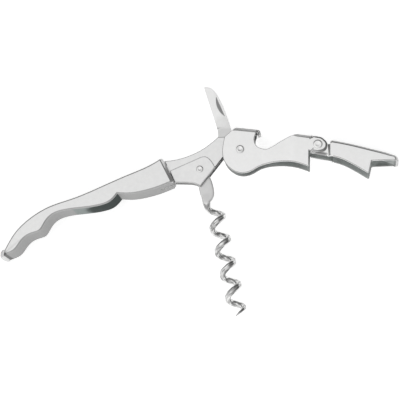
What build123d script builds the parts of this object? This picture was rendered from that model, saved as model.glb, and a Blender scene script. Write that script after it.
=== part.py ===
from build123d import *
import math
import os

os.makedirs("parts", exist_ok=True)

# Double-lever waiter's corkscrew with a foil knife and a bottle-cap hook, lying
# open on its side.  Millimetres, +Z up, every hinge axis is parallel to Z.
# Outlines are given relative to the hub pivot, which carries both the lever
# and the knife.

# ---------------------------------------------------------------- driving dimensions
HUB_X, HUB_Y = 17.88, 20.54       # hub pivot in the part's frame
MID_Z = 6.5                       # plane of symmetry of the folded sheet parts
BODY_T = 13.0                     # thickness of the handle cover and outer lever
SHEET = 1.2                       # lever and frame sheet thickness

WORM_PIVOT = (-16.95, -7.68)      # worm hinge, from the hub pivot
KNUCKLE = (32.24, 0.72)           # hinge between the two levers, from the hub pivot

FRAME_IN, FRAME_OUT = 1.1, 2.3    # half gap and half width over the frame cheeks
BOSS_OUT = 2.65                   # half width over the raised panel of the frame
KNIFE_HALF = 0.7                  # half thickness of the blade
HUB_IN, HUB_OUT = 2.8, 4.0        # half widths of the inner lever at its hub
HOOK_HALF = 3.4                   # half width of the cap hook
ARM_IN, ARM_OUT = 4.9, 6.1        # half widths of the inner lever at its knuckle
KNUCKLE_IN, KNUCKLE_OUT = 3.6, 4.8  # half widths of the outer lever's knuckle
TIP_IN, TIP_OUT = 5.3, 6.5        # half widths of the outer lever

HUB_PIN_R = 1.30
WORM_PIN_R = 1.20
KNUCKLE_PIN_R = 1.50
RUN = 0.05                        # running clearance of a pin in its hole

WORM_ANGLE = -77.6                # direction of the worm, degrees
WORM_SHIFT = 2.15                 # the coil axis passes this far beside the worm pin
WORM_FOLD = -69.5                 # turn that lays the worm along the handle
WIRE_R = 1.28
COIL_R = 2.74                     # radius of the wire's centre line
COIL_PITCH = 9.82
COIL_START = 16.05                # along the worm, from its pin
COIL_TURNS = 4.36                 # full section turns; the point follows
POINT_TURNS = 0.45


def flat(z):
    """Horizontal plane at height z with its origin on the hub axis."""
    return Plane(origin=(HUB_X, HUB_Y, z), x_dir=(1, 0, 0), z_dir=(0, 0, 1))


def upright():
    """Plane of X and Z through the hub axis, origin at mid thickness."""
    return Plane(origin=(HUB_X, HUB_Y, MID_Z), x_dir=(1, 0, 0), z_dir=(0, -1, 0))


def save(builder, name):
    builder.part.label = name
    export_step(builder.part, f"parts/{name}.step")


# ---------------------------------------------------------------- shared outlines
TANG = [                          # tang of the frame, inside the cover
    (-31.00, -5.60), (-44.80, -11.60), (-57.50, -16.90),
    (-57.50, -20.20), (-44.80, -15.40), (-33.00, -10.70), (-29.15, -9.30),
]

# closed position of the coil axis, used for the slot in the cover
fold = math.radians(WORM_ANGLE + WORM_FOLD)
fold_dir = (math.cos(fold), math.sin(fold))
fold_side = (math.cos(fold + math.pi / 2), math.sin(fold + math.pi / 2))
fold_at = (
    WORM_PIVOT[0] + WORM_SHIFT * fold_side[0],
    WORM_PIVOT[1] + WORM_SHIFT * fold_side[1],
)


def along(s, side):
    """Point s along the folded worm's axis and side beside it (towards the handle)."""
    return (
        fold_at[0] + s * fold_dir[0] - side * fold_side[0],
        fold_at[1] + s * fold_dir[1] - side * fold_side[1],
    )


# ---------------------------------------------------------------- handle cover
with BuildPart() as handle_cover:
    with BuildSketch(flat(0)) as cover_outline:
        with BuildLine():
            back = Spline(
                (-32.30, -3.25), (-37.20, -6.10), (-45.60, -9.65), (-57.60, -14.65),
                (-69.60, -19.45), (-80.20, -23.00), (-86.95, -26.95), (-93.80, -33.40),
                (-97.95, -40.50),
            )
            Line((-97.95, -40.50), (-98.45, -42.95))
            belly = Spline(
                (-98.45, -42.95), (-96.20, -42.20), (-93.80, -40.90), (-91.70, -38.20),
                (-88.90, -35.20), (-85.60, -33.85), (-83.40, -33.00), (-82.00, -31.20),
                (-80.70, -28.90), (-78.20, -26.40), (-73.90, -24.80), (-65.00, -23.75),
                (-57.80, -22.70), (-53.80, -21.10), (-50.90, -18.00),
            )
            front = Spline(
                (-50.90, -18.00), (-46.00, -18.25), (-41.40, -17.75), (-37.20, -16.80),
                (-33.00, -15.50), (-28.60, -13.75),
            )
            ThreePointArc((-28.60, -13.75), (-27.75, -13.15), (-27.75, -12.50))
            Line((-27.75, -12.50), (-32.30, -3.25))
        make_face()
    extrude(amount=BODY_T)
    long_edges = handle_cover.edges().filter_by(
        lambda e: abs(e.bounding_box().size.Z) < 1e-4
    )
    fillet(long_edges, 0.8)
    # pocket for the tang
    with BuildSketch(flat(MID_Z - FRAME_OUT - 0.03)):
        with BuildLine():
            Polyline(*TANG, (-28.60, -9.10), (-30.40, -5.30), close=True)
        make_face()
        offset(amount=0.05, kind=Kind.INTERSECTION)
    extrude(amount=2 * FRAME_OUT + 0.06, mode=Mode.SUBTRACT)
    # slot that lets the folded worm's shank into the front corner
    with BuildSketch(flat(MID_Z - 1.25)):
        with BuildLine():
            Polyline(along(6, 4.9), along(17, 4.9), along(17, -6), along(6, -6), close=True)
        make_face()
    extrude(amount=2.5, mode=Mode.SUBTRACT)
    # blind holes for the cross pins, open on the lower face
    with BuildSketch(flat(0)):
        with Locations((-41.0, -11.75), (-52.0, -16.35)):
            Circle(1.2)
    extrude(amount=11.3, mode=Mode.SUBTRACT)
    # seat for the end cap's spigot
    with BuildSketch(flat(MID_Z - 2.5)):
        with Locations(Location((-97.9, -41.9), 48)):
            Rectangle(7.0, 1.3)
    extrude(amount=5.0, mode=Mode.SUBTRACT)
save(handle_cover, "handle_cover")

# ---------------------------------------------------------------- end cap
with BuildPart() as end_cap:
    with BuildSketch(flat(0)):
        with BuildLine():
            Line((-97.95, -40.50), (-98.45, -42.95))
            Spline(
                (-98.45, -42.95), (-99.05, -43.75), (-99.90, -44.05),
                (-100.60, -43.50), (-100.80, -42.50), (-100.45, -41.40),
                (-99.50, -40.60), (-98.80, -40.35), (-97.95, -40.50),
            )
        make_face()
    extrude(amount=BODY_T)
    # domed across the thickness of the handle
    with BuildSketch(upright()):
        with Locations((-90.64, 0)):
            RectangleRounded(20.0, BODY_T - 1.0, 4.0)
    extrude(amount=60, both=True, mode=Mode.INTERSECT)
    with BuildSketch(flat(MID_Z - 2.45)):
        with Locations(Location((-97.0, -40.9), 48)):
            Rectangle(4.2, 1.2)
    extrude(amount=4.9)
save(end_cap, "end_cap")


# ---------------------------------------------------------------- frame cheeks
def make_cheek(low, outward):
    """A frame cheek between low and low + SHEET, its raised panel on the outward side."""
    with BuildPart() as cheek:
        with BuildSketch(flat(low)):
            with BuildLine():
                Spline(
                    (-31.85, -3.80), (-26.90, -3.25), (-23.95, -2.55), (-21.00, -1.55),
                    (-15.20, 1.30), (-9.30, 5.90),
                )
                Line((-9.30, 5.90), (-2.48, 5.90))
                ThreePointArc((-2.48, 5.90), (4.525, -4.525), (-6.23, -1.50))
                Line((-6.23, -1.50), (-16.75, -15.00))
                Spline(
                    (-16.75, -15.00), (-18.40, -14.00), (-22.20, -13.30), (-27.40, -13.05)
                )
                Polyline(
                    (-27.40, -13.05), (-29.15, -9.30), (-33.00, -10.70),
                    (-44.80, -15.40), (-57.50, -20.20), (-57.50, -16.90),
                    (-44.80, -11.60), (-31.00, -5.60), (-31.85, -3.80),
                )
            make_face()
        extrude(amount=SHEET)
        # the raised panel round the worm pin
        with BuildSketch(flat(low + SHEET if outward > 0 else low - BOSS_OUT + FRAME_OUT)):
            with BuildLine():
                Line((-29.60, -8.10), (-16.30, -2.45))
                Spline((-16.30, -2.45), (-14.60, -2.35), (-12.70, -3.60), (-11.10, -6.10))
                Line((-11.10, -6.10), (-16.50, -13.20))
                Spline((-16.50, -13.20), (-22.20, -12.40), (-27.30, -12.20))
                Line((-27.30, -12.20), (-29.60, -8.10))
            make_face()
        extrude(amount=BOSS_OUT - FRAME_OUT)
        with BuildSketch(flat(0)):
            Circle(HUB_PIN_R)
            with Locations(WORM_PIVOT):
                Circle(WORM_PIN_R)
            with Locations((-41.0, -11.75), (-52.0, -16.35)):
                Circle(1.2)
        extrude(amount=BODY_T, mode=Mode.SUBTRACT)
    return cheek


frame_front_cheek = make_cheek(MID_Z + FRAME_IN, 1)
save(frame_front_cheek, "frame_front_cheek")
frame_rear_cheek = make_cheek(MID_Z - FRAME_OUT, -1)
save(frame_rear_cheek, "frame_rear_cheek")

# ---------------------------------------------------------------- between the cheeks
with BuildPart() as worm_spring:
    with BuildSketch(flat(MID_Z - FRAME_IN)):
        with BuildLine():
            Polyline(
                (-44.70, -11.60), (-31.10, -5.70), (-30.20, -5.25), (-18.75, -5.62),
                (-18.95, -6.00), (-24.00, -8.25), (-29.15, -9.30), (-33.00, -10.70),
                (-44.70, -15.35), close=True,
            )
        make_face()
        with Locations((-41.0, -11.75)):
            Circle(1.2, mode=Mode.SUBTRACT)
    extrude(amount=2 * FRAME_IN)
save(worm_spring, "worm_spring")

with BuildPart() as tang_core:
    with BuildSketch(flat(MID_Z - FRAME_IN)):
        with BuildLine():
            Polyline(
                (-45.00, -11.70), (-57.50, -16.90), (-57.50, -20.20), (-45.00, -15.48),
                close=True,
            )
        make_face()
        with Locations((-52.0, -16.35)):
            Circle(1.2, mode=Mode.SUBTRACT)
    extrude(amount=2 * FRAME_IN)
save(tang_core, "tang_core")

with BuildPart() as cover_pins:
    with BuildSketch(flat(0.05)):
        with Locations((-41.0, -11.75), (-52.0, -16.35)):
            Circle(1.2)
    extrude(amount=11.2)
save(cover_pins, "cover_pins")


# ---------------------------------------------------------------- rivets and washers
def make_rivet(at, radius, head_r, under_head, head_h):
    """A pin with a low domed head at each end, under_head from mid thickness."""
    with BuildPart() as rivet:
        with BuildSketch(flat(MID_Z - under_head)):
            with Locations(at):
                Circle(radius)
        extrude(amount=2 * under_head)
        for low in (MID_Z + under_head, MID_Z - under_head - head_h):
            with BuildSketch(flat(low)):
                with Locations(at):
                    Circle(head_r)
            extrude(amount=head_h)
        rims = rivet.edges().filter_by(GeomType.CIRCLE)
        fillet([rims.sort_by(Axis.Z)[0], rims.sort_by(Axis.Z)[-1]], head_h * 0.85)
    return rivet


def make_washers(at, inner, outer, gap, thick):
    """Two washers, mirrored about mid thickness, their inner faces gap from it."""
    with BuildPart() as washers:
        for low in (MID_Z + gap, MID_Z - gap - thick):
            with BuildSketch(flat(low)):
                with Locations(at):
                    Circle(outer)
                    Circle(inner, mode=Mode.SUBTRACT)
            extrude(amount=thick)
    return washers


hub_rivet = make_rivet((0, 0), HUB_PIN_R, 1.75, HUB_OUT + 0.04, 0.60)
save(hub_rivet, "hub_rivet")
worm_rivet = make_rivet(WORM_PIVOT, WORM_PIN_R, 1.50, BOSS_OUT, 0.50)
save(worm_rivet, "worm_rivet")
knuckle_rivet = make_rivet(KNUCKLE, KNUCKLE_PIN_R, 1.95, ARM_OUT, 0.40)
save(knuckle_rivet, "knuckle_rivet")
hub_washers = make_washers((0, 0), HUB_PIN_R, 3.6, FRAME_OUT, 0.42)
save(hub_washers, "hub_washers")
knife_washers = make_washers((0, 0), HUB_PIN_R, 3.0, KNIFE_HALF + 0.05, 0.35)
save(knife_washers, "knife_washers")
with BuildPart() as knuckle_bush:
    with BuildSketch(flat(MID_Z - KNUCKLE_IN + 0.05)):
        with Locations(KNUCKLE):
            Circle(2.3)
            Circle(KNUCKLE_PIN_R, mode=Mode.SUBTRACT)
    extrude(amount=2 * KNUCKLE_IN - 0.1)
save(knuckle_bush, "knuckle_bush")

# ---------------------------------------------------------------- knife
with BuildPart() as knife_blade:
    with BuildSketch(flat(MID_Z - KNIFE_HALF)):
        with BuildLine():
            Line((-3.30, 7.40), (-3.90, 9.20))
            Spline(
                (-3.90, 9.20), (-5.15, 13.40), (-6.90, 18.60), (-9.30, 23.80),
                (-11.20, 26.60), (-12.90, 27.90), (-15.25, 28.20),
            )
            Polyline((-15.25, 28.20), (-9.35, 9.20), (-9.20, 5.60), (-4.20, -1.60))
            ThreePointArc((-4.20, -1.60), (3.10, -3.25), (2.40, 3.80))
            Line((2.40, 3.80), (-3.30, 7.40))
        make_face()
        Circle(HUB_PIN_R + RUN, mode=Mode.SUBTRACT)
    extrude(amount=2 * KNIFE_HALF)
    # ground bevels along the cutting edge
    edge_dir = Vector(-15.25 + 9.35, 28.20 - 9.20, 0).normalized()
    across = Vector(-edge_dir.Y, edge_dir.X, 0)
    bevel = Plane(
        origin=Vector(HUB_X - 9.35, HUB_Y + 9.20, MID_Z), x_dir=-across, z_dir=edge_dir
    )
    with BuildSketch(bevel.offset(0.6)):
        with BuildLine():
            Polyline((-0.2, 0.08), (3.1, KNIFE_HALF + 0.01), (-0.2, KNIFE_HALF + 0.3), close=True)
        make_face()
        with BuildLine():
            Polyline((-0.2, -0.08), (3.1, -KNIFE_HALF - 0.01), (-0.2, -KNIFE_HALF - 0.3), close=True)
        make_face()
    extrude(amount=24, mode=Mode.SUBTRACT)
    # nail nick in both faces beside the spine
    for low in (MID_Z + KNIFE_HALF - 0.35, MID_Z - KNIFE_HALF - 0.05):
        with BuildSketch(flat(low)):
            with BuildLine():
                Line((-10.15, 23.60), (-6.75, 15.60))
                ThreePointArc((-6.75, 15.60), (-9.35, 19.10), (-10.15, 23.60))
            make_face()
        extrude(amount=0.40, mode=Mode.SUBTRACT)
save(knife_blade, "knife_blade")

# ---------------------------------------------------------------- worm
worm_plane = Plane(
    origin=(HUB_X + WORM_PIVOT[0], HUB_Y + WORM_PIVOT[1], MID_Z),
    x_dir=(math.cos(math.radians(WORM_ANGLE)), math.sin(math.radians(WORM_ANGLE)), 0),
    z_dir=(0, 0, 1),
)
coil_plane = Plane(
    origin=worm_plane.from_local_coords((COIL_START, WORM_SHIFT, 0)),
    x_dir=-worm_plane.y_dir,
    z_dir=worm_plane.x_dir,
)
coil = coil_plane * Helix(
    pitch=COIL_PITCH, height=COIL_PITCH * COIL_TURNS, radius=COIL_R
)
point_turn = 2 * math.pi * COIL_TURNS
point_plane = Plane(
    origin=coil_plane.from_local_coords((0, 0, COIL_PITCH * COIL_TURNS)),
    x_dir=coil_plane.x_dir * math.cos(point_turn) + coil_plane.y_dir * math.sin(point_turn),
    z_dir=coil_plane.z_dir,
)
point_path = point_plane * Helix(
    pitch=COIL_PITCH, height=COIL_PITCH * POINT_TURNS, radius=COIL_R
)
with BuildPart() as worm:
    with BuildSketch(worm_plane.offset(-1.0)):
        Circle(2.2)
        with BuildLine():
            Line((0, -2.20), (8.9, -2.30))
            Spline((8.9, -2.30), (12.2, -2.28), (14.4, -2.06), (16.05, -1.87))
            Line((16.05, -1.87), (16.05, 0.60))
            Spline((16.05, 0.60), (14.5, 0.85), (13.0, 1.80), (11.4, 3.20), (9.6, 3.70), (6.4, 3.70), (4.2, 3.30), (1.2, 1.84))
            Line((1.2, 1.84), (0, -2.20))
        make_face()
        Circle(WORM_PIN_R + RUN, mode=Mode.SUBTRACT)
    extrude(amount=2.0)
    with BuildSketch(Plane(origin=coil @ 0, z_dir=coil % 0)):
        Circle(WIRE_R)
    sweep(path=coil, is_frenet=True)
    # tapered point
    with BuildSketch(Plane(origin=point_path @ 0, z_dir=point_path % 0)) as wide:
        Circle(WIRE_R)
    with BuildSketch(Plane(origin=point_path @ 1, z_dir=point_path % 1)) as fine:
        Circle(0.15)
    sweep(
        sections=[wide.sketch, fine.sketch], path=point_path, multisection=True,
        is_frenet=True,
    )
    with Locations(worm_plane.from_local_coords((COIL_START, WORM_SHIFT - COIL_R, 0))):
        Sphere(WIRE_R)
save(worm, "worm")

# ---------------------------------------------------------------- inner lever
with BuildPart() as inner_lever:
    with BuildSketch(flat(0)):
        with BuildLine():
            Line((-2.00, 9.45), (-6.45, 5.55))
            Spline(
                (-6.45, 5.55), (-7.35, 0.30), (-7.00, -3.80), (-4.50, -7.65),
                (-0.20, -9.95), (4.40, -9.30), (8.00, -7.35), (11.80, -6.25),
                (15.60, -5.85), (20.30, -6.00), (24.00, -6.75), (28.35, -8.45),
            )
            Line((28.35, -8.45), (28.55, -1.70))
            Spline((28.55, -1.70), (30.20, -2.20), (32.00, -2.55), (34.00, -2.25))
            ThreePointArc((34.00, -2.25), (35.95, 0.10), (34.90, 2.60))
            Spline((34.90, 2.60), (34.00, 3.35), (32.70, 3.75))
            Line((32.70, 3.75), (23.20, 5.35))
            Spline(
                (23.20, 5.35), (20.30, 4.25), (15.50, 1.90), (12.45, 0.25),
                (10.40, -0.20), (8.70, 0.25), (7.20, 1.00), (6.35, 2.10), (5.95, 3.60),
                (6.00, 4.90), (6.70, 6.60),
            )
            Line((6.70, 6.60), (6.85, 8.25))
            Line((6.85, 8.25), (-2.00, 9.45))
        make_face()
    extrude(amount=BODY_T)
    with BuildSketch(upright()):
        for s in (1, -1):
            with BuildLine():
                Polyline(
                    (-9.0, s * HUB_OUT), (8.8, s * HUB_OUT), (22.8, s * ARM_OUT),
                    (38.0, s * ARM_OUT), (38.0, s * ARM_IN), (23.2, s * ARM_IN),
                    (9.2, s * HUB_IN), (-9.0, s * HUB_IN), close=True,
                )
            make_face()
    extrude(amount=40, both=True, mode=Mode.INTERSECT)
    # web over the hub
    with BuildSketch(flat(MID_Z - HUB_OUT)):
        with BuildLine():
            Polyline((-2.00, 9.45), (6.85, 8.25), (6.72, 6.95), (-1.75, 8.13), close=True)
        make_face()
    extrude(amount=2 * HUB_OUT)
    # cap hook, curled down from the web and narrower than it
    with BuildSketch(flat(MID_Z - HOOK_HALF)):
        with BuildLine():
            Line((5.60, 8.42), (7.55, 8.16))
            ThreePointArc((7.55, 8.16), (8.15, 7.85), (8.35, 7.20))
            Line((8.35, 7.20), (8.65, 5.45))
            Line((8.65, 5.45), (7.00, 4.85))
            Line((7.00, 4.85), (7.05, 6.55))
            Line((7.05, 6.55), (5.60, 6.80))
            Line((5.60, 6.80), (5.60, 8.42))
        make_face()
    extrude(amount=2 * HOOK_HALF)
    # web over the arm
    with BuildSketch(flat(MID_Z - ARM_OUT)):
        with BuildLine():
            Polyline(
                (23.20, 5.35), (29.50, 4.29), (29.30, 3.09), (23.80, 4.02), close=True
            )
        make_face()
    extrude(amount=2 * ARM_OUT)
    with BuildSketch(flat(0)):
        Circle(HUB_PIN_R + RUN)
        with Locations(KNUCKLE):
            Circle(KNUCKLE_PIN_R)
    extrude(amount=BODY_T, mode=Mode.SUBTRACT)
save(inner_lever, "inner_lever")

# ---------------------------------------------------------------- outer lever
with BuildPart() as outer_lever:
    with BuildSketch(flat(0)):
        with BuildLine():
            Spline((38.30, 1.95), (43.50, 0.80), (51.80, -1.45), (62.60, -4.50))
            ThreePointArc((62.60, -4.50), (64.45, -5.35), (64.85, -7.00))
            Line((64.85, -7.00), (63.45, -7.10))
            ThreePointArc((63.45, -7.10), (63.10, -6.75), (62.50, -6.72))
            Line((62.50, -6.72), (53.95, -6.85))
            Line((53.95, -6.85), (52.75, -11.80))
            Line((52.75, -11.80), (52.00, -11.70))
            Spline(
                (52.00, -11.70), (49.50, -10.05), (45.40, -7.50), (41.30, -5.45),
                (37.20, -4.25), (28.80, -2.45),
            )
            Line((28.80, -2.45), (29.15, 0.60))
            ThreePointArc((29.15, 0.60), (31.30, 3.60), (34.60, 2.50))
            Line((34.60, 2.50), (36.90, 0.55))
            Line((36.90, 0.55), (37.35, 1.35))
            ThreePointArc((37.35, 1.35), (37.70, 1.85), (38.30, 1.95))
        make_face()
    extrude(amount=BODY_T)
    with BuildSketch(upright()):
        with BuildLine():
            Polyline(
                (28.0, TIP_OUT), (28.0, -TIP_OUT), (60.9, -TIP_OUT), (63.8, -5.2),
                (65.0, -2.2), (65.0, 2.2), (63.8, 5.2), (60.9, TIP_OUT), close=True,
            )
        make_face()
    extrude(amount=40, both=True, mode=Mode.INTERSECT)
    # hollow it from below, leaving the web and the tip
    with BuildSketch(flat(MID_Z - TIP_IN)):
        with BuildLine():
            Polyline(
                (38.10, 0.65), (43.30, -0.43), (51.55, -2.65), (62.3, -5.72),
                (62.3, -20.0), (38.10, -20.0), close=True,
            )
        make_face()
    extrude(amount=2 * TIP_IN, mode=Mode.SUBTRACT)
    # joggle: the knuckle stands inside the inner lever's cheeks
    with BuildSketch(upright()):
        with BuildLine():
            Polyline(
                (27.0, KNUCKLE_IN), (37.1, KNUCKLE_IN), (38.15, TIP_IN), (38.15, -TIP_IN),
                (37.1, -KNUCKLE_IN), (27.0, -KNUCKLE_IN), close=True,
            )
        make_face()
        for s in (1, -1):
            with BuildLine():
                Polyline(
                    (27.0, s * KNUCKLE_OUT), (36.75, s * KNUCKLE_OUT),
                    (37.6, s * (TIP_OUT + 0.1)), (27.0, s * (TIP_OUT + 0.1)), close=True,
                )
            make_face()
    extrude(amount=40, both=True, mode=Mode.SUBTRACT)
    with BuildSketch(flat(0)):
        with Locations(KNUCKLE):
            Circle(KNUCKLE_PIN_R + RUN)
    extrude(amount=BODY_T, mode=Mode.SUBTRACT)
save(outer_lever, "outer_lever")
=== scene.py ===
import bpy
import bmesh
import math
from mathutils import Matrix, Vector


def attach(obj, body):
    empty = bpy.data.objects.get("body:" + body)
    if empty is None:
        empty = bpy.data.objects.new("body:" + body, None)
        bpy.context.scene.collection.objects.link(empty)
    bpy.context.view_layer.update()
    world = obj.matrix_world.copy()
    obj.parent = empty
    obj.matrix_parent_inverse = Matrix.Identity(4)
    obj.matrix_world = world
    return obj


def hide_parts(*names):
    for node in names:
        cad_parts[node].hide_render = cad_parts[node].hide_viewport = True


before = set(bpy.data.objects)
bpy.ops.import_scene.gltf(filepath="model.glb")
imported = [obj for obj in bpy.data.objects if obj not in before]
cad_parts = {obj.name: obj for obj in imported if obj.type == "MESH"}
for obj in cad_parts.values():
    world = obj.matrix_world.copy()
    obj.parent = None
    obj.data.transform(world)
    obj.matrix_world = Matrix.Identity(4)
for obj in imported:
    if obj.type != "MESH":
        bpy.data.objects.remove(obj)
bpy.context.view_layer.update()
scene = bpy.context.scene

# Double-lever waiter's corkscrew.  Outlines are in millimetres from the hub pivot,
# z from the surface the tool lies on; the mid plane of the tool is z = MZ.
MM = 0.001
HX, HY, MZ = 17.88, 20.54, 6.5
WORM_PIVOT = (-16.95, -7.68)
KNUCKLE = (32.24, 0.72)

# ------------------------------------------------------------------ camera
cam_data = bpy.data.cameras.new("camera")
camera = bpy.data.objects.new("camera", cam_data)
scene.collection.objects.link(camera)
scene.camera = camera
RIGHT = Vector((0.99324929, 0.0, -0.11599933))
DOWN = Vector((-0.02372735, -0.97885668, -0.20316645))
FORWARD = Vector((-0.11354672, 0.20454729, -0.97224871))
eye = Vector((51.2274317 + HX, -143.42613157 + HY, 591.96849333)) * MM
camera.matrix_world = Matrix((
    (RIGHT.x, -DOWN.x, -FORWARD.x, eye.x),
    (RIGHT.y, -DOWN.y, -FORWARD.y, eye.y),
    (RIGHT.z, -DOWN.z, -FORWARD.z, eye.z),
    (0, 0, 0, 1),
))
cam_data.sensor_width = 36.0
cam_data.lens = 36.0 * 1450 / 400
cam_data.clip_start, cam_data.clip_end = 0.01, 50


# ------------------------------------------------------------------ node helpers
class Nodes:
    """A short way to write a node tree."""

    def __init__(self, tree):
        self.tree = tree

    def new(self, kind, **inputs):
        n = self.tree.nodes.new(kind)
        for key, value in inputs.items():
            self.put(n, key, value)
        return n

    def put(self, n, key, value):
        if key == "operation":
            n.operation = value
            return
        if key[0] == "i" and key[1:].isdigit():
            sock = n.inputs[int(key[1:])]
        else:
            sock = n.inputs[key]
        if isinstance(value, bpy.types.NodeSocket):
            self.tree.links.new(value, sock)
        else:
            sock.default_value = value

    def math(self, op, a, b=None, clamp=False):
        n = self.tree.nodes.new("ShaderNodeMath")
        n.operation = op
        n.use_clamp = clamp
        for i, v in enumerate((a, b)):
            if v is None:
                continue
            if isinstance(v, bpy.types.NodeSocket):
                self.tree.links.new(v, n.inputs[i])
            else:
                n.inputs[i].default_value = v
        return n.outputs[0]

    def span(self, value, a, b, c, d, smooth=False):
        n = self.tree.nodes.new("ShaderNodeMapRange")
        n.interpolation_type = "SMOOTHSTEP" if smooth else "LINEAR"
        self.tree.links.new(value, n.inputs["Value"])
        for k, v in zip(("From Min", "From Max", "To Min", "To Max"), (a, b, c, d)):
            n.inputs[k].default_value = v
        return n.outputs["Result"]

    def noise(self, vector, scale, detail=3.0, rough=0.55, distortion=0.0):
        n = self.tree.nodes.new("ShaderNodeTexNoise")
        self.tree.links.new(vector, n.inputs["Vector"])
        n.inputs["Scale"].default_value = scale
        n.inputs["Detail"].default_value = detail
        n.inputs["Roughness"].default_value = rough
        n.inputs["Distortion"].default_value = distortion
        return n.outputs["Fac"]

    def ramp(self, value, stops):
        r = self.tree.nodes.new("ShaderNodeValToRGB")
        self.tree.links.new(value, r.inputs[0])
        while len(r.color_ramp.elements) < len(stops):
            r.color_ramp.elements.new(0.5)
        for e, (at, v) in zip(r.color_ramp.elements, stops):
            e.position = at
            e.color = (v, v, v, 1)
        return r.outputs[0]


# ------------------------------------------------------------------ light
scene.view_settings.view_transform = "Standard"
world = bpy.data.worlds.new("studio")
scene.world = world
world.use_nodes = True
world.node_tree.nodes.clear()
W = Nodes(world.node_tree)
coord = W.new("ShaderNodeTexCoord")
sep = W.new("ShaderNodeSeparateXYZ", i0=coord.outputs["Generated"])
y01 = W.span(sep.outputs["Y"], -1, 1, 0, 1)
x01 = W.span(sep.outputs["X"], -1, 1, 0, 1)
along_y = W.ramp(y01, ((0.0, 1.0), (0.45, 0.78), (0.62, 0.72), (0.78, 0.30), (1.0, 0.14)))
along_x = W.ramp(x01, ((0.0, 1.0), (0.35, 0.85), (0.62, 0.80), (0.85, 0.45), (1.0, 0.30)))
env = W.new("ShaderNodeBackground")
W.put(env, "Strength", W.math("MULTIPLY", W.math("MULTIPLY", along_x, along_y), 1.45))
plain = W.new("ShaderNodeBackground")
plain.inputs["Color"].default_value = (0.97, 0.97, 0.97, 1)
path = W.new("ShaderNodeLightPath")
pick = W.new("ShaderNodeMixShader", i0=path.outputs["Is Camera Ray"], i1=env.outputs[0], i2=plain.outputs[0])
W.new("ShaderNodeOutputWorld", i0=pick.outputs[0])


def softbox(name, at, aim, size, radiance):
    data = bpy.data.lights.new(name, "AREA")
    data.shape = "RECTANGLE"
    data.size, data.size_y = size
    data.energy = radiance * math.pi * size[0] * size[1]
    o = bpy.data.objects.new(name, data)
    scene.collection.objects.link(o)
    o.location = at
    o.rotation_mode = "QUATERNION"
    o.rotation_quaternion = (Vector(aim) - Vector(at)).to_track_quat("-Z", "Y")
    return o


softbox("overhead", (-0.18, 0.14, 1.0), (0, 0, 0), (0.95, 0.75), 0.42)

floor_mesh = bpy.data.meshes.new("floor")
s = 6.0
floor_mesh.from_pydata([(-s, -s, 0), (s, -s, 0), (s, s, 0), (-s, s, 0)], [], [(0, 1, 2, 3)])
floor = bpy.data.objects.new("floor", floor_mesh)
scene.collection.objects.link(floor)
fm = bpy.data.materials.new("floor")
fm.use_nodes = True
b = fm.node_tree.nodes["Principled BSDF"]
b.inputs["Base Color"].default_value = (0.8, 0.8, 0.8, 1)
b.inputs["Roughness"].default_value = 0.9
b.inputs["Emission Color"].default_value = (1, 1, 1, 1)
b.inputs["Emission Strength"].default_value = 0.62
floor_mesh.materials.append(fm)


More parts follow.
